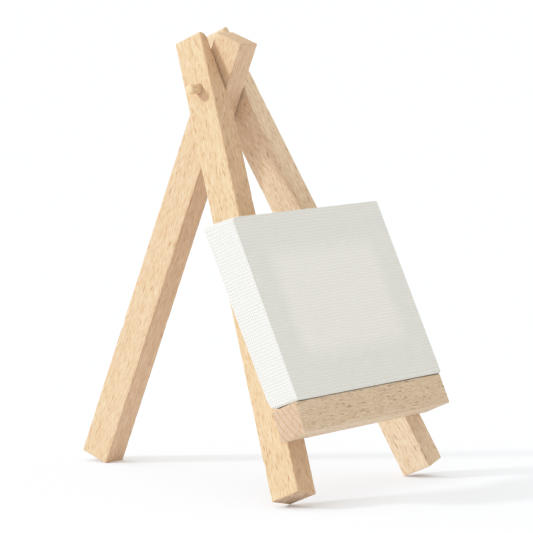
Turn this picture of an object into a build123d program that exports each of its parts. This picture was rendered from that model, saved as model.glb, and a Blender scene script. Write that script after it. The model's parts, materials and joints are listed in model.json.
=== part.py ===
from build123d import *

import os
from math import cos, radians, sin

# Miniature tabletop easel with a stretched canvas. Millimetres and degrees, +Z up, the easel's front
# faces -Y and +X is its right side. The origin is on the table, at the middle of the outer box.

# Driving dimensions: legs
LEG_WIDTH = 7.65
LEG_FRONT = 4.3  # the front legs' front faces stand this far before the pivot's axis
LEG_BACK = 4.5  # and their back faces this far behind it
REAR_WIDTH = 8.1
REAR_DEPTH = 8.6
EDGE_RADIUS = 0.25  # sanded edges of the wooden pieces
LEAN = 24.4  # the front frame leans back this far from upright
SPLAY = 12.85  # each front leg runs out from the middle line by this much
REAR_ANGLE = 20.25  # the rear leg runs back from upright by this much
FRONT_BELOW_PIVOT = 114.1
LEFT_ABOVE_PIVOT = 14.2
RIGHT_ABOVE_PIVOT = 15.55
REAR_ABOVE_PIVOT = 14.3
BEVEL_START = 8.1  # the planed top of a front leg starts this far below the pivot
BEVEL_X = 4.5  # the planed faces stand this far from the middle plane
LEFT_TOP_RADIUS = 1.5  # the left leg's top is sanded round above its planed face

# Driving dimensions: pivot dowel
DOWEL_RADIUS = 1.3
LEFT_HOLE_RADIUS = 1.42
REAR_HOLE_RADIUS = 1.36  # the rear leg turns on the dowel
DOWEL_PROTRUSION_LEFT = 4.55
DOWEL_PROTRUSION_RIGHT = 1.0
DOWEL_END_RADIUS = 0.5

# Driving dimensions: ledge and its pin nails
LEDGE_LEFT = -35.7  # at the middle of the left end
LEDGE_RIGHT = 35.1
LEDGE_SKEW = 6.4  # the left end is sawn off square: it runs out to the front
LEDGE_TILT = 3.4  # and out to the bottom
LEDGE_HEIGHT = 8.4
LEDGE_DEPTH = 8.6
LEDGE_TOP = -89.2  # top of the ledge, up the frame from the pivot
BRAD_RADIUS = 0.5
BRAD_HEAD_RADIUS = 1.0
BRAD_HEAD_HEIGHT = 0.4
BRAD_LENGTH = 13.0
BRAD_HEAD_DEPTH = 0.2  # the head is driven just below the surface

# Driving dimensions: canvas
CANVAS_WIDTH = 70.2
CANVAS_HEIGHT = 49.4
CANVAS_DEPTH = 8.7
CANVAS_LEFT = -35.45  # its lower left corner, which the canvas is turned about
CANVAS_TURN = 0.3  # it stands a little askew on the ledge, its right side up
CANVAS_GAP = 0.15  # stand-off from the ledge and from the legs
CANVAS_CORNER_RADIUS = 0.6
CLOTH = 0.4  # primed cloth thickness
FLAP = 9.0  # cloth turned onto the back of the bars
BAR_WIDTH = 13.0
STAPLE_CROWN = 5.0
STAPLE_WIRE = 0.36
STAPLE_DEPTH = 4.0
STAPLE_EDGE = 5.5  # from the canvas's outer edge to the middle of a crown
STAPLE_SPREAD_LONG = 11.0  # from the middle of the long sides
STAPLE_SPREAD_SHORT = 8.0  # from the middle of the short sides

HALF_WIDTH = LEG_WIDTH / 2
REAR_HALF_DEPTH = REAR_DEPTH / 2
BEYOND = 40.0  # cutting shapes run past the part by this much
SIN_SPLAY, COS_SPLAY = sin(radians(SPLAY)), cos(radians(SPLAY))
SIN_LEAN, COS_LEAN = sin(radians(LEAN)), cos(radians(LEAN))
SIN_REAR, COS_REAR = sin(radians(REAR_ANGLE)), cos(radians(REAR_ANGLE))
# The planed face crosses the leg's inner face at BEVEL_START, which sets the leg's offset at the pivot.
LEG_OFFSET = BEVEL_X - BEVEL_START * SIN_SPLAY + HALF_WIDTH * COS_SPLAY

# A front leg stands on the inner back corner of its foot and the rear leg on its lower front edge. A
# rounded corner or edge stands a little higher than a sharp one.
FRONT_CORNER_RISE = EDGE_RADIUS * (COS_SPLAY * COS_LEAN + SIN_SPLAY * COS_LEAN + SIN_LEAN - 1)
REAR_EDGE_RISE = EDGE_RADIUS * (COS_REAR + SIN_REAR - 1)
PIVOT_Z = (
    FRONT_BELOW_PIVOT * COS_SPLAY * COS_LEAN
    + HALF_WIDTH * SIN_SPLAY * COS_LEAN
    + LEG_BACK * SIN_LEAN
    - FRONT_CORNER_RISE
)
REAR_BELOW_PIVOT = (PIVOT_Z - REAR_HALF_DEPTH * SIN_REAR + REAR_EDGE_RISE) / COS_REAR

# The outer box runs in Y from the ledge's lower front edge to the back of the rear foot.
FRONT_REACH = (LEDGE_HEIGHT - LEDGE_TOP) * SIN_LEAN + (LEG_FRONT + LEDGE_DEPTH) * COS_LEAN
FRONT_EDGE_RISE = EDGE_RADIUS * (SIN_LEAN + COS_LEAN - 1)
REAR_REACH = REAR_BELOW_PIVOT * SIN_REAR + REAR_HALF_DEPTH * COS_REAR
PIVOT_Y = (FRONT_REACH - FRONT_EDGE_RISE - REAR_REACH + REAR_EDGE_RISE) / 2


def lean(shape, angle):
    """A shape drawn flat (x right, y up its plane, z out of its front), leant back at the pivot."""
    return Pos(0, PIVOT_Y, PIVOT_Z) * Rot(90 - angle, 0, 0) * shape


def eased(shape, radius=EDGE_RADIUS):
    return fillet(shape.edges(), radius)


def box_from(x_low, x_high, y_low, y_high, z_low, z_high):
    middle = Pos((x_low + x_high) / 2, (y_low + y_high) / 2, (z_low + z_high) / 2)
    return middle * Box(x_high - x_low, y_high - y_low, z_high - z_low)


def cross_pin(radius, x_low, x_high):
    """A cylinder along X through the pivot."""
    return Pos((x_low + x_high) / 2, 0, 0) * Rot(0, 90, 0) * Cylinder(radius, x_high - x_low)


def leg_point(side, below, inward):
    """A point on a front leg: below the pivot along its axis, and inward across it."""
    x = LEG_OFFSET + below * SIN_SPLAY - inward * COS_SPLAY
    y = -below * COS_SPLAY - inward * SIN_SPLAY
    return (side * x, y)


def front_leg(side, above, top_radius, hole_radius):
    """A splayed front leg. side is -1 for the left one and 1 for the right one."""
    top_inward = (LEG_OFFSET - above * SIN_SPLAY - BEVEL_X) / COS_SPLAY
    top_corner = leg_point(side, -above, top_inward)
    outline = Polygon(
        leg_point(side, FRONT_BELOW_PIVOT, -HALF_WIDTH),
        leg_point(side, FRONT_BELOW_PIVOT, HALF_WIDTH),
        leg_point(side, BEVEL_START, HALF_WIDTH),
        top_corner,
        leg_point(side, -above, -HALF_WIDTH),
        align=None,
    )
    nearest = outline.vertices().sort_by_distance(top_corner)[0]
    slab = extrude(fillet(nearest, top_radius), LEG_BACK + LEG_FRONT, dir=(0, 0, 1))
    leg = eased(Pos(0, 0, -LEG_BACK) * slab)
    leg -= cross_pin(hole_radius, -BEYOND, BEYOND)
    return lean(leg, LEAN)


def rear_leg():
    """The middle leg, which turns on the dowel between the planed faces of the front legs."""
    half_width = REAR_WIDTH / 2
    low, high = -REAR_BELOW_PIVOT, REAR_ABOVE_PIVOT
    leg = eased(box_from(-half_width, half_width, low, high, -REAR_HALF_DEPTH, REAR_HALF_DEPTH))
    leg -= cross_pin(REAR_HOLE_RADIUS, -REAR_WIDTH, REAR_WIDTH)
    return lean(leg, -REAR_ANGLE)


def pivot_dowel():
    face = LEG_OFFSET + HALF_WIDTH / COS_SPLAY
    pin = cross_pin(DOWEL_RADIUS, -face - DOWEL_PROTRUSION_LEFT, face + DOWEL_PROTRUSION_RIGHT)
    ends = pin.edges().filter_by(GeomType.CIRCLE)
    return lean(fillet(ends, DOWEL_END_RADIUS), LEAN)


def ledge():
    """The bar across the front legs, with its left end sawn a little off square."""
    low, front = LEDGE_TOP - LEDGE_HEIGHT, LEG_FRONT + LEDGE_DEPTH
    bar = box_from(LEDGE_LEFT - LEDGE_DEPTH, LEDGE_RIGHT, low, LEDGE_TOP, LEG_FRONT, front)
    waste = Rot(0, -LEDGE_SKEW, -LEDGE_TILT) * Pos(-BEYOND / 2, 0, 0) * Box(BEYOND, BEYOND, BEYOND)
    bar -= Pos(LEDGE_LEFT, low + LEDGE_HEIGHT / 2, LEG_FRONT + LEDGE_DEPTH / 2) * waste
    return lean(eased(bar), LEAN)


def brad_place(side, shape):
    """Moves a shape drawn about the back of a leg to where a front leg crosses the ledge's middle."""
    middle = LEDGE_TOP - LEDGE_HEIGHT / 2
    x = side * (LEG_OFFSET - middle * SIN_SPLAY / COS_SPLAY)
    return lean(Pos(x, middle, -LEG_BACK) * shape, LEAN)


def brad(side):
    """A pin nail driven from the back of a front leg, square to it, into the ledge."""
    head = Pos(0, 0, BRAD_HEAD_DEPTH + BRAD_HEAD_HEIGHT / 2) * Cylinder(BRAD_HEAD_RADIUS, BRAD_HEAD_HEIGHT)
    shank = Pos(0, 0, BRAD_HEAD_DEPTH + BRAD_LENGTH / 2) * Cylinder(BRAD_RADIUS, BRAD_LENGTH)
    return brad_place(side, head + shank)


def brad_mouth(side):
    """The dent that the driven head leaves in the back of the leg."""
    return brad_place(side, Cylinder(BRAD_HEAD_RADIUS, 2 * BRAD_HEAD_DEPTH))


def canvas_place(shape):
    """Moves a shape drawn about the middle of the canvas's back onto the ledge."""
    corner = Pos(CANVAS_LEFT, LEDGE_TOP + CANVAS_GAP, LEG_FRONT + CANVAS_GAP)
    middle = Pos(CANVAS_WIDTH / 2, CANVAS_HEIGHT / 2, 0)
    return lean(corner * Rot(0, 0, CANVAS_TURN) * middle * shape, LEAN)


def stretcher_bar(turn):
    """A mitred bar in its place, turned round the frame by 0, 90, 180 or 270 degrees from the bottom."""
    sizes = (CANVAS_WIDTH, CANVAS_HEIGHT) if turn % 180 == 0 else (CANVAS_HEIGHT, CANVAS_WIDTH)
    half_length, outer = (size / 2 - CLOTH for size in sizes)
    reach = BAR_WIDTH - CLOTH
    outline = Polygon(
        (-half_length, -outer),
        (half_length, -outer),
        (half_length - reach, reach - outer),
        (reach - half_length, reach - outer),
        align=None,
    )
    return Rot(0, 0, turn) * Pos(0, 0, CLOTH) * extrude(outline, CANVAS_DEPTH - 2 * CLOTH)


def canvas_cloth():
    """Cloth over the front and the four sides, turned onto the back and left open in the middle."""
    wide, high = CANVAS_WIDTH / 2, CANVAS_HEIGHT / 2
    skin = box_from(-wide, wide, -high, high, 0, CANVAS_DEPTH)
    skin = fillet(skin.edges().filter_by(Axis.Z), CANVAS_CORNER_RADIUS)
    wide, high = wide - CLOTH, high - CLOTH
    inside = box_from(-wide, wide, -high, high, CLOTH, CANVAS_DEPTH - CLOTH)
    wide, high = CANVAS_WIDTH / 2 - FLAP, CANVAS_HEIGHT / 2 - FLAP
    window = box_from(-wide, wide, -high, high, -CLOTH, CANVAS_DEPTH / 2)
    return skin - inside - window


def staple():
    """One wire staple: a crown pressed flush into the cloth, and two legs in the bar."""
    wire, reach = STAPLE_WIRE / 2, STAPLE_CROWN / 2
    wires = box_from(-reach, reach, -wire, wire, 0, STAPLE_WIRE)
    for x in (wire - reach, reach - wire):
        wires += box_from(x - wire, x + wire, -wire, wire, 0, STAPLE_DEPTH)
    return wires


def staples():
    """Two staples on each side of the canvas's back."""
    x_side = CANVAS_WIDTH / 2 - STAPLE_EDGE
    y_side = CANVAS_HEIGHT / 2 - STAPLE_EDGE
    placed = []
    for way in (-1, 1):
        for along in (-1, 1):
            placed.append(Pos(along * STAPLE_SPREAD_LONG, way * y_side, 0) * staple())
            placed.append(Pos(way * x_side, along * STAPLE_SPREAD_SHORT, 0) * Rot(0, 0, 90) * staple())
    return placed


def frame_nodes():
    """The two front legs, the dowel, the ledge and its nails."""
    brads = [brad(side) for side in (-1, 1)]
    mouths = [brad_mouth(side) for side in (-1, 1)]
    left = front_leg(-1, LEFT_ABOVE_PIVOT, LEFT_TOP_RADIUS, LEFT_HOLE_RADIUS)
    right = front_leg(1, RIGHT_ABOVE_PIVOT, EDGE_RADIUS, DOWEL_RADIUS)
    return {
        "left_leg": left - brads[0] - mouths[0],
        "right_leg": right - brads[1] - mouths[1],
        "pivot_dowel": pivot_dowel(),
        "ledge": ledge() - brads[0] - brads[1],
        "ledge_brads": Compound(brads),
    }


def canvas_nodes():
    """The stretcher's four bars, the cloth and its staples, all on the ledge."""
    wires = staples()
    flat = {"canvas_cloth": canvas_cloth()}
    for name, turn in (("bottom", 0), ("right", 90), ("top", 180), ("left", 270)):
        flat["stretcher_" + name] = stretcher_bar(turn)
    for name in flat:
        for wire in wires:
            flat[name] -= wire
    flat["canvas_staples"] = Compound(wires)
    return {name: canvas_place(shape) for name, shape in flat.items()}


os.makedirs("parts", exist_ok=True)
nodes = {**frame_nodes(), "rear_leg": rear_leg(), **canvas_nodes()}
for name, shape in nodes.items():
    export_step(shape, f"parts/{name}.step")
whole = Compound(list(nodes.values())).bounding_box()
print("outer box", whole.min, whole.max)
print("pivot height", PIVOT_Z, "pivot y", PIVOT_Y, "rear leg below pivot", REAR_BELOW_PIVOT)
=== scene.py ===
"""Looks of the small wooden easel and its stretched canvas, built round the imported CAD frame. Metres."""

import json
import math

import bpy
from mathutils import Matrix, Vector, noise


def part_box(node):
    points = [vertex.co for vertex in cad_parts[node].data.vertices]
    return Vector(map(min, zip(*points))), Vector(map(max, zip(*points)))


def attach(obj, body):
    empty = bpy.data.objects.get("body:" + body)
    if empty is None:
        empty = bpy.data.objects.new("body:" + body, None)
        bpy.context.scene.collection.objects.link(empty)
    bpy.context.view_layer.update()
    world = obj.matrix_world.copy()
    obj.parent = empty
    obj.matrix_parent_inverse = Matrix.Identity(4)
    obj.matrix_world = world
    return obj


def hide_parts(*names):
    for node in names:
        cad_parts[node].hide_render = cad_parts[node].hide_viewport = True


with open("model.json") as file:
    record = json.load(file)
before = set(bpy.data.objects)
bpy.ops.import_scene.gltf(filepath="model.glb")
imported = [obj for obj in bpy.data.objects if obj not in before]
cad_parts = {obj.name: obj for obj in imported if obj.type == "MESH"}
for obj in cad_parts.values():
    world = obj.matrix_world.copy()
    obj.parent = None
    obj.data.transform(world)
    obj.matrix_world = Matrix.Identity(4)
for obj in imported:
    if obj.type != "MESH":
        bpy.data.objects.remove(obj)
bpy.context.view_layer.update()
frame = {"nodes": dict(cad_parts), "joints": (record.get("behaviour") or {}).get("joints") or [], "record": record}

MM = 0.001
RECORD = frame["record"]
PIVOT = Vector(next(j for j in frame["joints"] if j["name"] == "rear_leg_fold")["pos_m"])
FRONT = Vector(next(m for m in RECORD["mounts"] if m["name"] == "canvas_front")["axis"]).normalized()
RIGHT = Vector((1, 0, 0))
UP_FRAME = FRONT.cross(RIGHT).normalized()


# ---------------------------------------------------------------- camera, lights and floor

CAMERA_PLACE = PIVOT + Vector((-711.2, -485.8, 36.0)) * MM
CAMERA_YAW = math.radians(56.52)  # from +Y towards +X
CAMERA_PITCH = math.radians(5.54)  # down
CAMERA_ROLL = math.radians(0.835)
CAMERA_LENS = 218.4
SENSOR_WIDTH = 36
CLIP_RANGE = 0.01, 100
SUN_ELEVATION = math.radians(25)
SUN_FROM_CAMERA = math.radians(18)  # the sun shines this far away from the camera, from its left
SUN_STRENGTH = 1.78
SUN_ANGLE = math.radians(8)
SUN_COLOUR = (1.0, 1.005, 1.04)
SKY_LOW = 0.27
SKY_COLOUR = (1.0, 0.977, 0.912, 1)
# Two soft boxes: where each is, how bright, and the cosines between which it fades in.
SOFT_BOXES = (
    (Vector((-0.30, 0.42, 0.86)), 1.30, 0.3, 0.95),  # above, to the left and behind
    (Vector((0.68, -0.69, 0.24)), 0.58, 0.1, 0.9),  # a fill from the front and the right
)
BACKDROP = 1.4
FLOOR_SIZE = 60.0
FLOOR_COLOURS = (0.832, 0.873, 0.95), (0.852, 0.893, 0.97)
FLOOR_GLOW = 0.12  # lifts the shadows on the paper a little
# Soft shoulder of the picture's tones: scene value to shown value.
TONES = (
    (0, 0), (0.35, 0.35), (0.7, 0.70), (0.85, 0.82), (1.0, 0.905), (1.15, 0.975), (1.28, 1.0), (2.0, 1.0),
)


def camera_axes():
    """Right, up and forward of the camera."""
    yaw, pitch = CAMERA_YAW, CAMERA_PITCH
    forward = Vector((math.sin(yaw) * math.cos(pitch), math.cos(yaw) * math.cos(pitch), -math.sin(pitch)))
    level = Vector((math.cos(yaw), -math.sin(yaw), 0))
    above = level.cross(forward)
    turn, side = math.cos(CAMERA_ROLL), math.sin(CAMERA_ROLL)
    return level * turn + above * side, above * turn - level * side, forward


def make_camera():
    right, up, forward = camera_axes()
    data = bpy.data.cameras.new("camera")
    data.lens = CAMERA_LENS
    data.sensor_width = SENSOR_WIDTH
    data.clip_start, data.clip_end = CLIP_RANGE
    camera = bpy.data.objects.new("camera", data)
    turn = Matrix((right, up, -forward)).transposed().to_4x4()
    camera.matrix_world = Matrix.Translation(CAMERA_PLACE) @ turn
    bpy.context.scene.collection.objects.link(camera)
    bpy.context.scene.camera = camera


def make_lights():
    level = Vector((math.cos(CAMERA_YAW), -math.sin(CAMERA_YAW), 0))
    depth = Vector((math.sin(CAMERA_YAW), math.cos(CAMERA_YAW), 0))
    travel = level * math.cos(SUN_FROM_CAMERA) + depth * math.sin(SUN_FROM_CAMERA)
    travel = travel * math.cos(SUN_ELEVATION) - Vector((0, 0, math.sin(SUN_ELEVATION)))
    data = bpy.data.lights.new("key", "SUN")
    data.energy, data.angle = SUN_STRENGTH, SUN_ANGLE
    data.color = SUN_COLOUR
    key = bpy.data.objects.new("key", data)
    key.rotation_mode = "QUATERNION"
    key.rotation_quaternion = travel.to_track_quat("-Z", "Y")
    bpy.context.scene.collection.objects.link(key)
    bpy.context.scene.world = studio_sky()


def studio_sky():
    """Even soft light and soft boxes; the backdrop itself is seen plain white."""
    world = bpy.data.worlds.new("studio")
    world.use_nodes = True
    nodes, links = world.node_tree.nodes, world.node_tree.links
    direction = nodes.new("ShaderNodeTexCoord").outputs["Generated"]
    total = SKY_LOW
    for middle, strength, far, near in SOFT_BOXES:
        facing = nodes.new("ShaderNodeVectorMath")
        facing.operation = "DOT_PRODUCT"
        facing.inputs[1].default_value = middle.normalized()
        links.new(direction, facing.inputs[0])
        box = nodes.new("ShaderNodeMapRange")
        box.interpolation_type = "SMOOTHSTEP"
        for socket, value in zip(("From Min", "From Max", "To Min", "To Max"), (far, near, 0, strength)):
            box.inputs[socket].default_value = value
        links.new(facing.outputs["Value"], box.inputs["Value"])
        both = nodes.new("ShaderNodeMath")
        if isinstance(total, float):
            both.inputs[0].default_value = total
        else:
            links.new(total, both.inputs[0])
        links.new(box.outputs["Result"], both.inputs[1])
        total = both.outputs[0]
    seen = nodes.new("ShaderNodeMix")
    seen.inputs["B"].default_value = BACKDROP
    links.new(nodes.new("ShaderNodeLightPath").outputs["Is Camera Ray"], seen.inputs["Factor"])
    links.new(total, seen.inputs["A"])
    links.new(seen.outputs["Result"], nodes["Background"].inputs["Strength"])
    nodes["Background"].inputs["Color"].default_value = SKY_COLOUR
    return world


def set_tones():
    settings = bpy.context.scene.view_settings
    settings.view_transform = "Standard"
    settings.look = "None"
    settings.use_curve_mapping = True
    mapping = settings.curve_mapping
    mapping.use_clip = True
    mapping.clip_max_x, mapping.clip_max_y = TONES[-1]
    curve = mapping.curves[3]
    for spare in range(len(curve.points) - 2):
        curve.points.remove(curve.points[-2])
    curve.points[0].location = TONES[0]
    curve.points[-1].location = TONES[-1]
    for stop in TONES[1:-1]:
        curve.points.new(*stop)
    mapping.update()


# ---------------------------------------------------------------- shader graphs

class Graph:
    """A material's node tree, with short calls for the nodes used here."""

    def __init__(self, name):
        self.material = bpy.data.materials.new(name)
        self.material.use_nodes = True
        self.tree = self.material.node_tree
        self.tree.nodes.clear()
        self.shader = self.tree.nodes.new("ShaderNodeBsdfPrincipled")
        out = self.tree.nodes.new("ShaderNodeOutputMaterial")
        self.tree.links.new(self.shader.outputs["BSDF"], out.inputs["Surface"])

    def put(self, value, socket):
        """A link if value is a socket, a plain number or colour otherwise."""
        if isinstance(value, bpy.types.NodeSocket):
            self.tree.links.new(value, socket)
        else:
            socket.default_value = value

    def node(self, kind, output=0, inputs=(), **settings):
        made = self.tree.nodes.new("ShaderNode" + kind)
        for key, value in settings.items():
            setattr(made, key, value)
        for key, value in dict(inputs).items():
            self.put(value, made.inputs[key])
        return made.outputs[output]

    def math(self, operation, a, b=0.0, c=0.0):
        return self.node("Math", operation=operation, inputs={0: a, 1: b, 2: c})

    def attribute(self, name):
        return self.node("Attribute", "Vector", attribute_name=name)

    def scaled(self, vector, *scale):
        """The vector with each part divided by a length in millimetres."""
        return self.node("Mapping", inputs={"Vector": vector, "Scale": [1 / (s * MM) for s in scale]})

    def noise(self, vector, detail=2.0, rough=0.5, distortion=0.0):
        inputs = {"Vector": vector, "Scale": 1.0, "Detail": detail, "Roughness": rough}
        return self.node("TexNoise", "Fac", {**inputs, "Distortion": distortion})

    def ramp(self, value, *stops):
        """A smooth curve through (place, level) stops; a level is a number or an r, g, b colour."""
        made = self.tree.nodes.new("ShaderNodeValToRGB")
        self.put(value, made.inputs["Fac"])
        elements = made.color_ramp.elements
        while len(elements) < len(stops):
            elements.new(0.5)
        for element, (place, level) in zip(elements, stops):
            element.position = place
            element.color = (*level, 1) if isinstance(level, tuple) else (level, level, level, 1)
        return made.outputs["Color"]

    def mix(self, amount, a, b, how="MIX"):
        made = self.tree.nodes.new("ShaderNodeMix")
        made.data_type, made.blend_type = "RGBA", how
        for socket, value in ((made.inputs[0], amount), (made.inputs[6], a), (made.inputs[7], b)):
            self.put((*value, 1) if isinstance(value, tuple) else value, socket)
        return made.outputs[2]

    def bump(self, height, distance, strength=1.0):
        inputs = {"Height": height, "Distance": distance * MM, "Strength": strength}
        return self.node("Bump", "Normal", inputs)

    def finish(self, colour, roughness, normal, specular=0.3):
        self.put(colour, self.shader.inputs["Base Color"])
        self.put(roughness, self.shader.inputs["Roughness"])
        self.put(normal, self.shader.inputs["Normal"])
        self.shader.inputs["Specular IOR Level"].default_value = specular
        return self.material


# ---------------------------------------------------------------- wood

GRAIN_SHIFT = 37 * MM  # how much further along the grain each stick starts than the last
BEECH = (0.80, 0.589, 0.382)
BEECH_END = (0.66, 0.49, 0.345)
# How each stick's wood differs from BEECH, and its ends from BEECH_END: one factor for all of the
# colour, or one each for red, green and blue.
LEFT_TINT = (0.812, 0.772, 0.758)
RIGHT_TINT = (0.955, 1.002, 1.11)
REAR_TINT = (0.832, 0.802, 0.82)
LEDGE_TINT = (0.845, 0.91, 1.025)
LEDGE_END_TINT = (0.81, 0.79, 0.82)
DOWEL_TINT = 0.88
DOWEL_END_TINT = (1.15, 1.1, 1.0)


def shade(colour, factor):
    """A colour made lighter or darker, with a number or one factor for each channel."""
    factors = factor if isinstance(factor, tuple) else (factor,) * 3
    return tuple(min(1.0, part * f) for part, f in zip(colour, factors))


def growth_rings(g, grain, pitch, wobble):
    """0 to 1 across each year's growth, counted out from the tree's middle."""
    flat = g.node("VectorMath", 0, {0: grain, 1: (1, 1, 0)}, operation="MULTIPLY")
    radius = g.node("VectorMath", "Value", {0: flat}, operation="LENGTH")
    drift = g.noise(g.scaled(grain, 6, 6, 60), detail=1.0)
    steps = g.math("MULTIPLY", radius, 1 / (pitch * MM))
    steps = g.math("MULTIPLY_ADD", drift, wobble, steps)
    return g.math("FRACT", steps)


def flecks(g, grain, across, along, size, kept, seed):
    """Short spindle-shaped marks along the grain: 0 outside, up to 1 inside."""
    moved = g.node("VectorMath", 0, {0: g.scaled(grain, across, across, along), 1: (seed, seed, seed)})
    cells = g.node("TexVoronoi", "Distance", {"Vector": moved, "Scale": 1.0})
    tone = cells.node.outputs["Color"]
    body = g.ramp(cells, (size * 0.45, 1.0), (size, 0.0))
    pick = g.node("SeparateColor", "Red", {"Color": tone})
    return g.math("MULTIPLY", body, g.ramp(pick, (1 - kept, 0.0), (min(1.0, 1.35 - kept), 1.0)))


def beech(name, tint=1.0, fleck=1.0, bend=0.4, reach=1.0):
    """Sanded beech: pale, with fine fibres, faint growth bands and short dark flecks along the grain."""
    g = Graph(name)
    grain = g.attribute("grain")
    base = shade(BEECH, tint)
    streak = g.noise(g.scaled(grain, 2.2, 2.2, 50), detail=3.0)
    colour = g.mix(g.ramp(streak, (0.3, 0.0), (0.7, 1.0)), shade(base, (0.95, 0.92, 0.88)), shade(base, 1.04))
    ring = g.ramp(growth_rings(g, grain, 1.9, 1.4), (0.0, 0.0), (0.55, 0.05), (0.93, 1.0), (1.0, 0.1))
    colour = g.mix(g.math("MULTIPLY", ring, 0.28), colour, shade(base, (0.86, 0.78, 0.68)))
    wide = {"Vector": g.scaled(grain, 2.5, 2.5, 3.0), "Scale": 1.0, "Detail": 1.0}
    waver = g.node("TexNoise", "Color", wide)
    waver = g.node("VectorMath", 0, {0: waver, 1: (bend * MM, bend * MM, 0)}, operation="MULTIPLY")
    grain = g.node("VectorMath", 0, {0: grain, 1: waver})
    fibre = g.noise(g.scaled(grain, 0.17, 0.17, 3.0 * reach), detail=3.0, rough=0.62)
    colour = g.mix(g.ramp(fibre, (0.36, 0.8), (0.53, 0.0)), colour, shade(base, (0.82, 0.72, 0.60)))
    colour = g.mix(g.ramp(fibre, (0.5, 0.0), (0.66, 0.9)), colour, shade(base, (1.12, 1.15, 1.20)))
    small = flecks(g, grain, 0.24, 1.8 * reach, 0.5, 0.42, 3.7)
    large = flecks(g, grain, 0.42, 2.8 * reach, 0.40, 0.36, 9.1)
    colour = g.mix(g.math("MULTIPLY", small, 0.85 * fleck), colour, shade(base, (0.66, 0.52, 0.38)))
    colour = g.mix(g.math("MULTIPLY", large, 0.9 * fleck), colour, shade(base, (0.44, 0.30, 0.19)))
    pits = g.math("ADD", g.math("MULTIPLY", small, 0.6), large)
    height = g.math("SUBTRACT", fibre, pits)
    rough = g.ramp(fibre, (0.3, 0.74), (0.7, 0.58))
    return g.finish(colour, rough, g.bump(height, 0.06, 0.8), specular=0.4)


def end_grain(name, tint=1.0, lines=1.0, foot=None):
    """Sawn end of a stick: growth lines crossed by fine rays, and open pores.

    Where the grain's z is below foot, the saw has torn it.
    """
    g = Graph(name)
    grain = g.attribute("grain")
    base = shade(BEECH_END, tint)
    dark = shade(base, (0.80, 0.66, 0.46))
    rings = growth_rings(g, grain, 1.55, 0.6)
    ring = g.ramp(rings, (0.0, 0.6), (0.1, 0.0), (0.78, 0.0), (0.93, 1.0), (1.0, 0.9))
    parts = g.node("SeparateXYZ", "X", {"Vector": grain}).node
    angle = g.math("ARCTAN2", parts.outputs["Y"], parts.outputs["X"])
    waver = g.noise(g.scaled(grain, 2.4, 2.4, 9), detail=1.0)
    spokes = g.math("FRACT", g.math("MULTIPLY_ADD", waver, 1.3, g.math("MULTIPLY", angle, 6.0)))
    ray = g.ramp(spokes, (0.42, 0.0), (0.5, 1.0), (0.58, 0.0))
    broken = g.ramp(g.noise(g.scaled(grain, 1.6, 1.6, 9), detail=1.0), (0.3, 0.2), (0.5, 1.0))
    mottle = g.noise(g.scaled(grain, 0.5, 0.5, 4), detail=3.0, rough=0.6)
    colour = g.mix(g.ramp(mottle, (0.35, 0.0), (0.65, 1.0)), shade(base, 0.94), shade(base, 1.06))
    colour = g.mix(g.math("MULTIPLY", ring, 0.85 * lines), colour, dark)
    colour = g.mix(g.math("MULTIPLY", g.math("MULTIPLY", ray, broken), 0.75 * lines), colour, dark)
    pores = g.node("TexVoronoi", "Distance", {"Vector": g.scaled(grain, 0.16, 0.16, 4), "Scale": 1.0})
    dots = g.ramp(pores, (0.12, 1.0), (0.3, 0.0))
    colour = g.mix(g.math("MULTIPLY", dots, 0.25), colour, dark)
    if foot is not None:
        saw = g.noise(g.scaled(grain, 0.35, 3.5, 9), detail=2.0, distortion=0.4)
        below = g.math("LESS_THAN", parts.outputs["Z"], foot)
        torn = g.math("MULTIPLY", g.ramp(saw, (0.48, 0.0), (0.62, 0.9)), below)
        colour = g.mix(torn, colour, shade(base, (0.5, 0.4, 0.3)))
    height = g.math("SUBTRACT", mottle, g.math("ADD", ring, dots))
    return g.finish(colour, g.ramp(mottle, (0.3, 0.85), (0.7, 0.7)), g.bump(height, 0.05, 0.6), specular=0.15)


def pine(name):
    """Sawn stretcher wood: yellower, straight grained, with soft darker bands."""
    g = Graph(name)
    grain = g.attribute("grain")
    base = (0.78, 0.62, 0.40)
    rings = g.ramp(growth_rings(g, grain, 2.6, 0.8), (0.0, 0.0), (0.45, 0.1), (0.9, 1.0), (1.0, 0.0))
    colour = g.mix(g.math("MULTIPLY", rings, 0.5), base, shade(base, (0.86, 0.70, 0.5)))
    fibre = g.noise(g.scaled(grain, 0.2, 0.2, 7), detail=3.0, rough=0.6)
    colour = g.mix(g.ramp(fibre, (0.35, 0.35), (0.6, 0.0)), colour, shade(base, (0.85, 0.78, 0.66)))
    height = g.math("ADD", g.math("MULTIPLY", rings, 0.4), fibre)
    return g.finish(colour, g.ramp(fibre, (0.3, 0.8), (0.7, 0.65)), g.bump(height, 0.04, 0.6), specular=0.2)


# ---------------------------------------------------------------- wooden pieces

RING_SIDE = 8  # points along each side of a stick's section, and round each corner
RING_CORNER = 4
QUARTER_TURN = [math.radians(22.5 * k) for k in range(5)]  # steps round an eased edge
STEP = 0.7 * MM  # between sections along a stick
EDGE = 0.27 * MM  # mean radius of a sanded edge
SHARPEST_EDGE = 0.12 * MM  # the least radius along a stick, and at its very ends
SHARPEST_END = 0.03 * MM
CHIP = 1.3 * MM  # how fast a chip in an edge deepens
HOLLOW = 0.012 * MM  # how deep the sanded faces are hollow
WORN_REACH = 6 * MM  # how far in from its ends a stick is worn


def flat_faces(node):
    """(area, outward normal, distance from the origin) of a CAD node's flat faces, largest first."""
    mesh = frame["nodes"][node].data
    groups = {}
    for face in mesh.polygons:
        key = tuple(round(part, 2) for part in face.normal)
        area, _, _ = groups.get(key, (0, None, 0))
        distance = face.normal.dot(mesh.vertices[face.vertices[0]].co)
        groups[key] = (area + face.area, face.normal.copy(), distance)
    return sorted(groups.values(), key=lambda group: -group[0])


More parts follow.
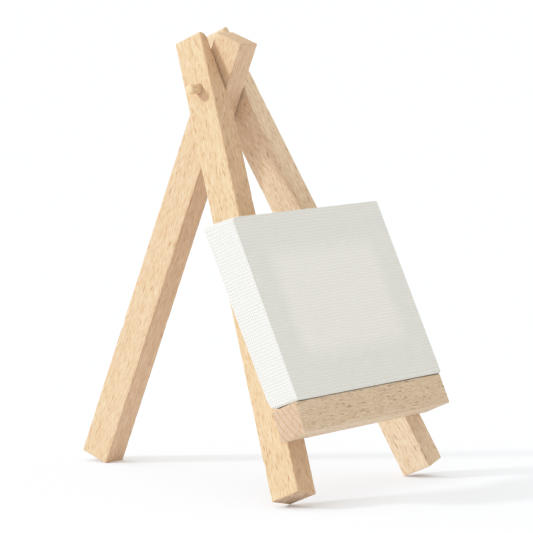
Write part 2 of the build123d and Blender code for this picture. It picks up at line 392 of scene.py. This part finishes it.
class Stick:
    """A square stick's own axes (x, y across and z along) and extents, read from its CAD node."""

    def __init__(self, node, x, z):
        self.node, self.x, self.z = node, x.normalized(), z.normalized()
        self.y = self.z.cross(self.x)
        points = [v.co for v in frame["nodes"][node].data.vertices]
        spans = [[p.dot(axis) for p in points] for axis in (self.x, self.y, self.z)]
        self.low, self.high = Vector(map(min, spans)), Vector(map(max, spans))

    def place(self, x, y, z):
        return self.x * x + self.y * y + self.z * z

    def local(self, point):
        return Vector((point.dot(self.x), point.dot(self.y), point.dot(self.z)))


def section(x_low, x_high, y_low, y_high, radii):
    """A rounded rectangle as (x, y, normal x, normal y), with one radius for each corner."""
    corners = ((x_low, y_low, 180), (x_high, y_low, 270), (x_high, y_high, 0), (x_low, y_high, 90))
    ring = []
    arcs = []
    for (x, y, start), r in zip(corners, radii):
        cx = x + (r if start in (180, 90) else -r)
        cy = y + (r if start in (180, 270) else -r)
        turns = [math.radians(start + 90 * k / RING_CORNER) for k in range(RING_CORNER + 1)]
        arcs.append([(cx + r * math.cos(t), cy + r * math.sin(t), math.cos(t), math.sin(t)) for t in turns])
    for k, arc in enumerate(arcs):
        ring += arc
        (ax, ay, nx, ny), (bx, by, _, _) = arc[-1], arcs[(k + 1) % 4][0]
        for step in range(1, RING_SIDE + 1):
            part = step / (RING_SIDE + 1)
            ring.append((ax + (bx - ax) * part, ay + (by - ay) * part, nx, ny))
    return ring


def wavy(seed, *place):
    return noise.noise(Vector(place) + Vector((seed * 7.3, seed * 3.1, seed * 5.7)))


def edge_radii(seed, z, worn, top, bottom):
    """Radius of each long edge at height z: a little uneven, with small chips, more of them at worn ends."""
    radii = []
    for corner in range(4):
        spot = seed + corner * 11.0
        uneven = 0.35 * wavy(spot, z / (2.2 * MM), 0, 0) + 0.25 * wavy(spot, z / (0.7 * MM), 5, 0)
        chip = max(0.0, wavy(spot, z / (3.1 * MM), 0, 9) - 0.42) * CHIP
        near_end = math.exp(-min(top - z, z - bottom) / WORN_REACH)
        wear = worn * near_end * EDGE * (0.6 + wavy(spot, z / MM, 3, 3))
        radii.append(max(SHARPEST_EDGE, EDGE * (1 + uneven) + chip + wear))
    return radii


def stick_rings(stick, bounds_at, seed, worn):
    """Sections along a stick, with both ends rounded over.

    bounds_at(z) gives x_low, x_high, y_low and y_high.
    """
    bottom, top = stick.low.z, stick.high.z
    count = round((top - bottom - 2 * EDGE) / STEP)
    levels = [(bottom + EDGE + (top - bottom - 2 * EDGE) * k / count, 0.0) for k in range(count + 1)]
    for angle in QUARTER_TURN[1:]:
        drop, inset = EDGE * math.sin(angle), EDGE * (1 - math.cos(angle))
        levels = [(bottom + EDGE - drop, inset)] + levels + [(top - EDGE + drop, inset)]
    rings = []
    for z, inset in levels:
        x_low, x_high, y_low, y_high = bounds_at(z)
        radii = [max(SHARPEST_END, r - inset * 0.8) for r in edge_radii(seed, z, worn, top, bottom)]
        ring = section(x_low + inset, x_high - inset, y_low + inset, y_high - inset, radii)
        row = []
        for x, y, nx, ny in ring:
            hollow = HOLLOW * (1 + wavy(seed, x / (3 * MM), y / (3 * MM), z / (11 * MM)))
            row.append(Vector((x - nx * hollow, y - ny * hollow, z)))
        rings.append(row)
    return rings


def skin(name, rings, stick, materials):
    """A closed mesh through the rings, in the stick's axes. The two ends get the second material."""
    count = len(rings[0])
    points = [stick.place(*p) for ring in rings for p in ring]
    faces, kinds = [], []
    last = len(rings) - 1
    for k in range(last):
        kind = 1 if k < 2 or k >= last - 2 else 0
        for i in range(count):
            j = (i + 1) % count
            faces.append((k * count + i, k * count + j, (k + 1) * count + j, (k + 1) * count + i))
            kinds.append(kind)
    faces.append(tuple(reversed(range(count))))
    faces.append(tuple(range(last * count, (last + 1) * count)))
    kinds += [1, 1]
    mesh = bpy.data.meshes.new(name)
    mesh.from_pydata(points, [], faces)
    for material in materials:
        mesh.materials.append(material)
    mesh.polygons.foreach_set("material_index", kinds)
    return mesh


def show(name, mesh, body, nodes, sharp=32):
    """Makes the piece, smooth but for its sharp edges, rides it on its body and hides what it replaces."""
    mesh.validate()
    for face in mesh.polygons:
        face.use_smooth = True
    mesh.set_sharp_from_angle(angle=math.radians(sharp))
    piece = bpy.data.objects.new(name, mesh)
    bpy.context.scene.collection.objects.link(piece)
    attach(piece, body)
    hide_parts(*nodes)
    return piece


def cut(mesh, cutters):
    """The mesh with each cutter mesh taken out of it."""
    work = bpy.data.objects.new("work", mesh)
    bpy.context.scene.collection.objects.link(work)
    tools = []
    for cutter in cutters:
        tool = bpy.data.objects.new("tool", cutter)
        bpy.context.scene.collection.objects.link(tool)
        modifier = work.modifiers.new("cut", "BOOLEAN")
        modifier.operation, modifier.solver, modifier.object = "DIFFERENCE", "EXACT", tool
        tools.append(tool)
    bpy.context.view_layer.update()
    graph = bpy.context.evaluated_depsgraph_get()
    result = bpy.data.meshes.new_from_object(work.evaluated_get(graph), depsgraph=graph)
    result.name = mesh.name
    for spare in [work, *tools]:
        bpy.data.objects.remove(spare)
    return result


def set_grain(mesh, stick, pith, turn, shift):
    """Stores each point's place in the tree: across from the pith (x, y) and along the grain (z)."""
    middle = (stick.low + stick.high) / 2
    cos, sin = math.cos(math.radians(turn)), math.sin(math.radians(turn))
    layer = mesh.attributes.new("grain", "FLOAT_VECTOR", "POINT")
    for vertex, item in zip(mesh.vertices, layer.data):
        p = stick.local(vertex.co) - middle
        item.vector = (p.x * cos - p.y * sin + pith, p.x * sin + p.y * cos, p.z + shift)


def turned(name, profile, start, axis, materials=(), segments=48, seed=0.0, rough=0.0):
    """A solid of revolution: profile is (along, radius) pairs from end to end, from start along axis."""
    across = axis.orthogonal().normalized()
    other = axis.cross(across)
    points, faces = [start + axis * profile[0][0]], []
    for along, radius in profile[1:-1]:
        for k in range(segments):
            turn = 2 * math.pi * k / segments
            r = radius * (1 + rough * wavy(seed, math.cos(turn) * 2, math.sin(turn) * 2, along / MM))
            points.append(start + axis * along + (across * math.cos(turn) + other * math.sin(turn)) * r)
    points.append(start + axis * profile[-1][0])
    rows = len(profile) - 2
    for k in range(segments):
        j = (k + 1) % segments
        faces.append((0, 1 + j, 1 + k))
        for row in range(rows - 1):
            a = 1 + row * segments
            faces.append((a + k, a + j, a + segments + j, a + segments + k))
        a = 1 + (rows - 1) * segments
        faces.append((a + k, a + j, len(points) - 1))
    mesh = bpy.data.meshes.new(name)
    mesh.from_pydata(points, [], faces)
    for material in materials:
        mesh.materials.append(material)
    return mesh


HOLE_SEGMENTS = 64
LEFT_TOP_RADIUS = 1.5 * MM
RIGHT_TOP_RADIUS = 0.3 * MM
DENT_DEPTH = 0.05 * MM
DENT_WIDENING = 1.06  # a dent is this many times as wide as its nail's head
SQUARE_UNDER = 0.02  # two directions are square to each other when their dot product is under this
IN_LINE_OVER = 0.999  # and in line with each other when it is over this


def cylinder(name, start, axis, radius, length, segments=48):
    """A plain cylinder for cutting with."""
    return turned(name, [(0, 0), (0, radius), (length, radius), (length, 0)], start, axis, segments=segments)


def hole_cutter(radius):
    """A cylinder across the easel through the pivot."""
    reach = 60 * MM
    return cylinder("hole", PIVOT - RIGHT * reach, RIGHT, radius, 2 * reach, HOLE_SEGMENTS)


def pivot_hole_radius(node):
    """Radius of the pivot hole in a CAD node: its closest points to the pivot's axis."""
    points = [v.co - PIVOT for v in frame["nodes"][node].data.vertices]
    return min(math.hypot(p.y, p.z) for p in points)


def dent_cutters():
    """A short cylinder over each pin nail's head, so the driven head shows in the back of its leg."""
    points = [v.co for v in frame["nodes"]["ledge_brads"].data.vertices]
    cutters = []
    for side in (-1, 1):
        nail = [p for p in points if p.x * side > 0]
        spans = [[p.dot(axis) for p in nail] for axis in (RIGHT, UP_FRAME, FRONT)]
        low, high = Vector(map(min, spans)), Vector(map(max, spans))
        radius, reach = (high.x - low.x) / 2 * DENT_WIDENING, 3 * MM
        place = RIGHT * (low.x + high.x) / 2 + UP_FRAME * (low.y + high.y) / 2 + FRONT * (low.z - reach)
        cutters.append(cylinder("dent", place, FRONT, radius, reach + DENT_DEPTH))
    return cutters


def upward(direction):
    return direction if direction.z > 0 else -direction


def front_leg(node, name, materials, seed, worn, top_radius, pith, turn):
    """One splayed leg, planed away on the inside of its top."""
    faces = flat_faces(node)
    square = [n for _, n, _ in faces if abs(n.dot(FRONT)) < SQUARE_UNDER and abs(n.x) < IN_LINE_OVER]
    inner = -square[0]
    stick = Stick(node, inner, upward(inner.cross(FRONT)))
    _, plane, distance = next(face for face in faces if abs(face[1].x) > IN_LINE_OVER)
    top = stick.high.z

    def bounds_at(z):
        planed = (distance - plane.dot(stick.z) * z) / plane.dot(stick.x)
        inward = min(stick.high.x, planed)
        if z > top - top_radius:
            inward -= top_radius - math.sqrt(max(0.0, top_radius**2 - (z - top + top_radius) ** 2))
        return stick.low.x, inward, stick.low.y, stick.high.y

    mesh = skin(name, stick_rings(stick, bounds_at, seed, worn), stick, materials)
    mesh = cut(mesh, [hole_cutter(pivot_hole_radius(node)), *dent_cutters()])
    set_grain(mesh, stick, pith, turn, seed * GRAIN_SHIFT)
    return show(name, mesh, "front_frame", [node])


def even_rings(stick, seed, worn):
    """Sections along a stick that is equally thick from end to end."""
    even = (stick.low.x, stick.high.x, stick.low.y, stick.high.y)
    return stick_rings(stick, lambda level: even, seed, worn)


def plain_stick(node, name, body, x, z, materials, seed, worn, pith, turn, holes=(), ends=None):
    """A straight stick of even section. ends(stick, rings), if given, shapes its ends."""
    stick = Stick(node, x, z)
    rings = even_rings(stick, seed, worn)
    if ends:
        rings = ends(stick, rings)
    mesh = skin(name, rings, stick, materials)
    if holes:
        mesh = cut(mesh, holes)
    set_grain(mesh, stick, pith, turn, seed * GRAIN_SHIFT)
    return show(name, mesh, body, [node])


def skewed_ends(stick, rings):
    """Leans the rings near the ledge's left end onto its sawn face, fading out along the ledge."""
    _, plane, distance = next(face for face in flat_faces(stick.node) if face[1].x < -0.9)
    fade = 9 * MM
    for ring in rings:
        for p in ring:
            sawn = (distance - plane.dot(stick.x) * p.x - plane.dot(stick.y) * p.y) / plane.dot(stick.z)
            near = max(0.0, 1 - (p.z - stick.low.z) / fade)
            p.z += max(0.0, sawn - stick.low.z) * near
    return rings


def mitred_ends(stick, rings, outer):
    """Shortens a bar at 45 degrees at both ends, away from its outer side, which is at y = outer."""
    middle, half = (stick.low.z + stick.high.z) / 2, (stick.high.z - stick.low.z) / 2
    for ring in rings:
        for p in ring:
            p.z = middle + (p.z - middle) * (1 - abs(outer - p.y) / half)
    return rings


def leg_materials(leg, tint, number, fleck=1.0):
    """Beech for a leg's sides and torn end grain for its foot. number counts the sticks along the tree."""
    return [beech("beech_" + leg, tint, fleck), end_grain(leg + "_ends", 0.95, 0.7, number * GRAIN_SHIFT)]


def make_legs():
    left = leg_materials("left_leg", LEFT_TINT, 1)
    right = leg_materials("right_leg", RIGHT_TINT, 2)
    rear = leg_materials("rear_leg", REAR_TINT, 3, 0.65)
    front_leg("left_leg", "left_leg_wood", left, 1.0, 1.0, LEFT_TOP_RADIUS, 32 * MM, 25)
    front_leg("right_leg", "right_leg_wood", right, 2.0, 1.0, RIGHT_TOP_RADIUS, 26 * MM, 110)
    _, face, _ = next(f for f in flat_faces("rear_leg") if abs(f[1].x) < SQUARE_UNDER)
    along = upward(RIGHT.cross(face))
    hole = hole_cutter(pivot_hole_radius("rear_leg"))
    plain_stick("rear_leg", "rear_leg_wood", "rear_leg", RIGHT, along, rear, 3.0, 1.0, 40 * MM, 200, [hole])


def make_ledge():
    wood = [beech("beech_ledge", LEDGE_TINT, 1.1, 0.8, 1.3), end_grain("ledge_ends", LEDGE_END_TINT, 0.8)]
    body = "front_frame"
    plain_stick("ledge", "ledge_wood", body, FRONT, RIGHT, wood, 4.0, 1.4, 20 * MM, 206, ends=skewed_ends)


def make_dowel():
    low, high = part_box("pivot_dowel")
    radius, length, ease = (high.z - low.z) / 2, high.x - low.x, 0.5 * MM
    start = [(ease - ease * math.cos(a), radius - ease + ease * math.sin(a)) for a in QUARTER_TURN]
    steps = 24
    body = [(ease + (length - 2 * ease) * k / steps, radius) for k in range(1, steps)]
    profile = [(0, 0), *start, *body, *((length - along, r) for along, r in reversed(start)), (length, 0)]
    wood = [beech("beech_dowel", DOWEL_TINT, 0.5), end_grain("dowel_ends", DOWEL_END_TINT, 0.4)]
    left_end = Vector((low.x, PIVOT.y, PIVOT.z))
    mesh = turned("dowel", profile, left_end, RIGHT, wood, seed=5.0, rough=0.012)
    for face in mesh.polygons:
        if abs(face.normal.x) > 0.75:
            face.material_index = 1
    stick = Stick("pivot_dowel", Vector((0, 1, 0)), RIGHT)
    set_grain(mesh, stick, 24 * MM, 60, 0.2)
    show("pivot_dowel_wood", mesh, "front_frame", ["pivot_dowel"], 40)


# ---------------------------------------------------------------- canvas

CLOTH = 0.4 * MM
FLAP = 9 * MM
BAR_WIDTH = 13 * MM
WEFT = 0.84 * MM  # pitch of the threads that run across the canvas
WARP = 0.58 * MM
FRONT_ROUND = 0.28 * MM
BACK_ROUND = 0.45 * MM
CORNER = 0.6 * MM
FLAP_SINK = 0.18 * MM  # the cloth on the back lies this far inside the canvas's outer box
FOLD = 0.24 * MM  # thickness of a folded corner over the cloth beside it
DISH = 0.16 * MM  # how far the cloth sinks in between the bars
PAINTED_BACKLIGHT_FROM = 10.8 * MM  # further in than this from its outer edges, the cloth is painted lighter: painted light standing for light shining through the cloth where no bar backs it
PRIMER = (0.792, 0.788, 0.745)


def smooth(low, high, value):
    part = min(1.0, max(0.0, (value - low) / (high - low)))
    return part * part * (3 - 2 * part)


class CanvasAxes:
    """The canvas's middle back point and half sizes, with a way from (x, y, depth) to the row frame."""

    def __init__(self):
        self.up = next(normal for _, normal, _ in flat_faces("canvas_cloth") if normal.dot(UP_FRAME) > 0.99)
        self.right = self.up.cross(FRONT)
        points = [v.co for v in frame["nodes"]["canvas_cloth"].data.vertices]
        spans = [[p.dot(axis) for p in points] for axis in (self.right, self.up, FRONT)]
        low, high = Vector(map(min, spans)), Vector(map(max, spans))
        self.half_x, self.half_y, self.depth = (high.x - low.x) / 2, (high.y - low.y) / 2, high.z - low.z
        self.start = Vector(((high.x + low.x) / 2, (high.y + low.y) / 2, low.z))

    def place(self, x, y, depth):
        start = self.start
        return self.right * (start.x + x) + self.up * (start.y + y) + FRONT * (start.z + depth)


def outline(half_x, half_y, radius):
    """Points round a rounded rectangle, closer on the short sides: (x, y, outward x, outward y)."""
    along_x, along_y, corner = 110, 190, 6
    ring = []
    for k, (sx, sy) in enumerate(((-1, -1), (1, -1), (1, 1), (-1, 1))):
        cx, cy = sx * (half_x - radius), sy * (half_y - radius)
        for step in range(corner + 1):
            turn = math.radians(180 + 90 * k + 90 * step / corner)
            nx, ny = math.cos(turn), math.sin(turn)
            ring.append((cx + radius * nx, cy + radius * ny, nx, ny))
        ax, ay, nx, ny = ring[-1]
        count = along_x if k % 2 == 0 else along_y
        bx = -ax if k % 2 == 0 else ax
        by = ay if k % 2 == 0 else -ay
        for step in range(1, count):
            part = step / count
            ring.append((ax + (bx - ax) * part, ay + (by - ay) * part, nx, ny))
    return ring


def cloth_stations(axes):
    """(inset from the outer sides, depth, flat length beyond the sides, kind) from front to back."""
    depth = axes.depth
    stations = []
    for a in QUARTER_TURN:
        out, drop = FRONT_ROUND * (1 - math.sin(a)), FRONT_ROUND * (1 - math.cos(a))
        stations.append((out, depth - drop, FRONT_ROUND * a - FRONT_ROUND, "front_edge"))
    side = 16
    for k in range(1, side):
        along = (depth - FRONT_ROUND - BACK_ROUND - FLAP_SINK) * k / side
        stations.append((0.0, depth - FRONT_ROUND - along, along, "side"))
    reach = depth - FRONT_ROUND - BACK_ROUND
    for a in QUARTER_TURN:
        out, rise = BACK_ROUND * (1 - math.cos(a)), BACK_ROUND * (1 - math.sin(a))
        stations.append((out, FLAP_SINK + rise, reach + BACK_ROUND * a, "back_edge"))
    flap = 22
    for k in range(1, flap + 1):
        out = BACK_ROUND + (FLAP - BACK_ROUND) * k / flap
        stations.append((out, FLAP_SINK, reach + out, "flap"))
    return stations


def fold_height(axes, x, y, kind, depth):
    """How far a folded corner lifts the cloth, 0 to 1, on the top and bottom sides and on the back."""
    p, q = axes.half_x - abs(x), axes.half_y - abs(y)
    soft = 0.35 * MM
    if kind == "side":
        if q > CORNER:
            return 0.0
        back = axes.depth - depth
        return smooth(-soft, soft, back * 0.92 - p) * smooth(0, soft, p)
    if kind == "flap":
        return smooth(-soft, soft, p - q) * smooth(-soft, soft, FLAP - 0.8 * MM - p)
    return 0.0


def slack(axes, x, y, depth):
    """How far the hand-stretched cloth is from a true box, as (x, y, depth)."""
    left, right = max(0.0, -x / axes.half_x), max(0.0, x / axes.half_x)
    low = 0.5 - 0.5 * y / axes.half_y
    from_top, back = axes.half_y - y, 1 - depth / axes.depth
    flap = smooth(0.86, 0.98, left) * back
    top_corner = flap * (1 - smooth(0.5 * MM, 4 * MM, from_top))
    low_corner = flap * (1 - smooth(0, 3 * MM, 2 * axes.half_y - from_top))
    front_corner = smooth(0.95, 1.0, left) * (1 - back) ** 2 * (1 - smooth(0.0, 2.5 * MM, from_top))
    sag = (0.09 + 0.18 * (1 + x / axes.half_x)) * smooth(0.97, 1.0, low)
    across = 0.75 * right**3 * low
    up = 0.6 * top_corner + 0.5 * low_corner - 0.55 * front_corner - sag
    forward = 0.15 * low * (1 - back) - (1.2 - 0.8 * low) * flap + 0.5 * low_corner
    return across * MM, up * MM, forward * MM


def make_cloth():
    """One cloth over the front and sides and onto the back, closed by its inner face."""
    axes = CanvasAxes()
    points, flat, ring_kinds = [], [], []
    ring_size = len(outline(1, 1, 0.1))

    def add(half_x, half_y, radius, depth_at, extra, kind, thread=0.0):
        for x, y, nx, ny in outline(half_x, half_y, radius):
            depth, out = depth_at(x, y)
            lump = thread * (0.5 + 0.5 * math.cos(2 * math.pi * y / WEFT)) * abs(nx)
            lump += thread * 0.7 * wavy(6, x / WEFT, y / WEFT, depth / WEFT)
            dx, dy, deeper = slack(axes, x, y, depth)
            points.append(axes.place(x + nx * (out + lump) + dx, y + ny * (out + lump) + dy, depth + deeper))
            fx, fy = (math.copysign(1, nx), 0) if abs(nx) > 0.2 else (0, math.copysign(1, ny))
            flat.append((x + fx * extra, y + fy * extra, depth))
        ring_kinds.append(kind)

    def dished(depth, x, y):
        inner_x, inner_y = axes.half_x - BAR_WIDTH, axes.half_y - BAR_WIDTH
        ease = 5 * MM
        across = 1 - smooth(inner_x - ease, inner_x + 1 * MM, abs(x))
        up = 1 - smooth(inner_y - ease, inner_y + 1 * MM, abs(y))
        return depth - DISH * across * up

    front = 34
    edge_x, edge_y = axes.half_x - FRONT_ROUND, axes.half_y - FRONT_ROUND
    for k in range(1, front):
        s = k / front
        add(edge_x * s, edge_y * s, CORNER * s, lambda x, y: (dished(axes.depth, x, y), 0.0), 0.0, "front")
    for out, depth, extra, kind in cloth_stations(axes):
        def lifted(x, y, depth=depth, kind=kind):
            fold = fold_height(axes, x, y, kind, depth)
            if kind == "flap":
                return depth - fold * (FLAP_SINK - 0.02 * MM), 0.0
            level = 1 - smooth(0, CORNER, axes.half_y - abs(y))
            return depth, (fold - 0.5) * FOLD * level * (kind == "side")

        thread = 0.07 * MM if kind in ("front_edge", "side") else 0.03 * MM
        half_x, half_y = axes.half_x - out, axes.half_y - out
        add(half_x, half_y, max(0.25 * MM, CORNER - out * 0.5), lifted, extra + out, kind, thread)
    inner_reach = 5
    for k in range(inner_reach + 1):
        out = FLAP - (FLAP - CLOTH) * k / inner_reach
        half_x, half_y = axes.half_x - out, axes.half_y - out
        add(half_x, half_y, 0.3 * MM, lambda x, y: (CLOTH - 0.01 * MM, 0.0), FLAP + out, "raw")
    for k in range(1, 8):
        depth = CLOTH + (axes.depth - 2 * CLOTH) * k / 7
        half_x, half_y = axes.half_x - CLOTH, axes.half_y - CLOTH
        add(half_x, half_y, 0.3 * MM, lambda x, y, d=depth: (d, 0.0), axes.depth - depth, "raw")
    inside = 18
    for k in range(1, inside):
        s = 1 - k / inside
        half_x, half_y = (axes.half_x - CLOTH) * s, (axes.half_y - CLOTH) * s
        add(half_x, half_y, 0.3 * MM * s, lambda x, y: (dished(axes.depth - CLOTH, x, y), 0.0), 0.0, "raw")

    faces, kinds = [tuple(range(ring_size))], [0]
    for k in range(len(ring_kinds) - 1):
        outer, inner = k * ring_size, (k + 1) * ring_size
        for i in range(ring_size):
            j = (i + 1) % ring_size
            faces.append((inner + i, inner + j, outer + j, outer + i))
            kinds.append(1 if ring_kinds[k + 1] == "raw" else 0)
    last = (len(ring_kinds) - 1) * ring_size
    faces.append(tuple(reversed(range(last, last + ring_size))))
    kinds.append(1)
    mesh = bpy.data.meshes.new("cloth")
    mesh.from_pydata(points, [], faces)
    mesh.materials.append(primed_cloth("primed_cloth", axes))
    mesh.materials.append(raw_cloth("raw_cloth"))
    mesh.polygons.foreach_set("material_index", kinds)
    layer = mesh.attributes.new("flat", "FLOAT_VECTOR", "POINT")
    for item, place in zip(layer.data, flat):
        item.vector = place
    size = tuple(2 * (half + axes.depth + FLAP) for half in (axes.half_x, axes.half_y))
    cloth = show("canvas_cloth_wrapped", mesh, "canvas", ["canvas_cloth"], 60)
    return cloth, size


def weave(g, flat):
    """(height, gaps) of a plain weave from its flat coordinates. The threads are a little uneven."""
    drift = g.noise(g.scaled(flat, 5, 5, 60), detail=2.0)
    parts = g.node("SeparateXYZ", "X", {"Vector": flat}).node
    x = g.math("MULTIPLY_ADD", drift, 0.8, g.math("MULTIPLY", parts.outputs["X"], 1 / WARP))
    y = g.math("MULTIPLY_ADD", drift, 1.1, g.math("MULTIPLY", parts.outputs["Y"], 1 / WEFT))
    rows = g.math("COSINE", g.math("MULTIPLY", y, 2 * math.pi))
    columns = g.math("COSINE", g.math("MULTIPLY", x, 2 * math.pi))
    half_x, half_y = g.math("MULTIPLY", x, math.pi), g.math("MULTIPLY", y, math.pi)
    over = g.math("MULTIPLY", g.math("COSINE", half_x), g.math("COSINE", half_y))
    gaps = [g.math("MULTIPLY_ADD", threads, -0.5, 0.5) for threads in (rows, columns)]
    gaps = g.math("MULTIPLY", *gaps)
    thick = g.noise(g.scaled(flat, 6, 0.6, 9), detail=2.0)
    height = g.math("MULTIPLY", rows, g.math("MULTIPLY_ADD", thick, 0.5, 0.1))
    height = g.math("MULTIPLY_ADD", columns, 0.4, height)
    height = g.math("MULTIPLY_ADD", over, 0.2, height)
    return g.math("MULTIPLY_ADD", gaps, -0.7, height), gaps


def primed_cloth(name, axes):
    """White primed cotton: a plain weave with uneven weft threads, painted a little lighter where no bar backs it
    as if light shone through, and with painted shade in the gaps between the threads.
    """
    g = Graph(name)
    flat = g.attribute("flat")
    height, gaps = weave(g, flat)
    base = PRIMER
    patch = g.noise(g.scaled(flat, 5, 5, 50), detail=3.0)
    uneven = g.ramp(patch, (0.35, 0.0), (0.65, 1.0))
    colour = g.mix(uneven, shade(base, 0.985), shade(base, (1.01, 1.0, 0.99)))
    parts = g.node("SeparateXYZ", "X", {"Vector": flat}).node

    def within(half_x, half_y, fade):
        """1 inside a rectangle round the cloth's middle and 0 outside, with a soft edge."""
        masks = []
        for part, half in ((parts.outputs["X"], half_x), (parts.outputs["Y"], half_y)):
            span = g.math("MULTIPLY_ADD", g.math("ABSOLUTE", part), 1 / fade, 0.5 - half / fade)
            masks.append(g.ramp(span, (0.0, 1.0), (1.0, 0.0)))
        return g.math("MULTIPLY", *masks)

    # Painted light: the middle, where no bar backs the cloth, is painted lighter as if light shone through it.
    painted_backlight = within(axes.half_x - PAINTED_BACKLIGHT_FROM, axes.half_y - PAINTED_BACKLIGHT_FROM, 5.5 * MM)
    face = within(axes.half_x, axes.half_y, 0.6 * MM)
    colour = g.mix(painted_backlight, colour, shade(base, (1.095, 1.078, 1.075)))
    # Painted shade: the gaps between the threads are painted darker, less so on the front face.
    relief = g.math("MULTIPLY_ADD", face, -0.48, 1.0)
    colour = g.mix(g.math("MULTIPLY", gaps, relief), colour, shade(base, (0.80, 0.79, 0.77)))
    grit = g.noise(g.scaled(flat, 0.12, 0.12, 9), detail=2.0)
    bump = g.bump(g.math("MULTIPLY", g.math("MULTIPLY_ADD", grit, 0.5, height), relief), 0.09, 0.9)
    return g.finish(colour, g.ramp(patch, (0.3, 0.86), (0.7, 0.74)), bump, specular=0.25)


def raw_cloth(name):
    """The cloth's unprimed side: cream cotton threads with darker slubs, and painted shade in the gaps between the
    threads.
    """
    g = Graph(name)
    flat = g.attribute("flat")
    height, gaps = weave(g, flat)
    base = (0.74, 0.69, 0.58)
    slub = g.noise(g.scaled(flat, 7, 0.45, 9), detail=2.0)
    colour = g.mix(g.ramp(slub, (0.4, 0.0), (0.68, 1.0)), base, shade(base, (0.87, 0.83, 0.76)))
    # Painted shade: the gaps between the threads are painted darker.
    colour = g.mix(g.math("MULTIPLY", gaps, 0.6), colour, shade(base, 0.6))
    return g.finish(colour, 0.92, g.bump(height, 0.09, 1.0), specular=0.12)


def make_bars():
    wood = pine("stretcher_pine")
    ends = end_grain("stretcher_ends", 1.15, 0.8)
    axes = CanvasAxes()
    right, up = axes.right, axes.up
    sides = {"top": (right, up), "bottom": (right, -up), "left": (up, -right), "right": (up, right)}
    bars = []
    for k, (side, (along, outward)) in enumerate(sides.items()):
        node = "stretcher_" + side
        stick = Stick(node, FRONT, along)
        outer = stick.high.y if stick.y.dot(outward) > 0 else stick.low.y
        rings = mitred_ends(stick, even_rings(stick, 20.0 + k, 0.0), outer)
        mesh = skin(node + "_bar", rings, stick, [wood, ends])
        set_grain(mesh, stick, (18 + 7 * k) * MM, 40 + 77 * k, 0.05 * k)
        bars.append(show(node + "_bar", mesh, "canvas", [node]))
    return bars


def steel(name):
    """Drawn steel wire, slightly dulled."""
    g = Graph(name)
    place = g.node("TexCoord", "Object")
    spots = g.noise(g.scaled(place, 0.3, 0.3, 0.3), detail=3.0)
    drawn = g.noise(g.scaled(place, 1.4, 0.06, 0.06), detail=2.0)
    colour = g.mix(g.ramp(spots, (0.4, 0.0), (0.7, 1.0)), (0.55, 0.55, 0.54), (0.38, 0.36, 0.34))
    g.shader.inputs["Metallic"].default_value = 1.0
    return g.finish(colour, g.ramp(spots, (0.3, 0.25), (0.7, 0.5)), g.bump(drawn, 0.01, 0.5), specular=0.5)


def finish_metal():
    metal = steel("drawn_steel")
    for node in ("ledge_brads", "canvas_staples"):
        for slot in frame["nodes"][node].material_slots:
            slot.material = metal


def make_floor():
    """A wide, pale paper floor."""
    half = FLOOR_SIZE / 2
    mesh = bpy.data.meshes.new("floor")
    corners = [(-half, -half, 0), (half, -half, 0), (half, half, 0), (-half, half, 0)]
    mesh.from_pydata(corners, [], [(0, 1, 2, 3)])
    g = Graph("paper")
    place = g.node("TexCoord", "Object")
    fibre = g.noise(g.scaled(place, 1.2, 1.2, 1.2), detail=3.0)
    colour = g.mix(g.ramp(fibre, (0.3, 0.0), (0.7, 1.0)), *FLOOR_COLOURS)
    g.shader.inputs["Emission Color"].default_value = (1, 1, 1, 1)
    g.shader.inputs["Emission Strength"].default_value = FLOOR_GLOW
    mesh.materials.append(g.finish(colour, 0.9, g.bump(fibre, 0.02, 0.3), specular=0.1))
    floor = bpy.data.objects.new("floor", mesh)
    bpy.context.scene.collection.objects.link(floor)


make_camera()
make_lights()
set_tones()
make_floor()
make_legs()
make_ledge()
make_dowel()
bars = make_bars()
cloth, cloth_size = make_cloth()
finish_metal()
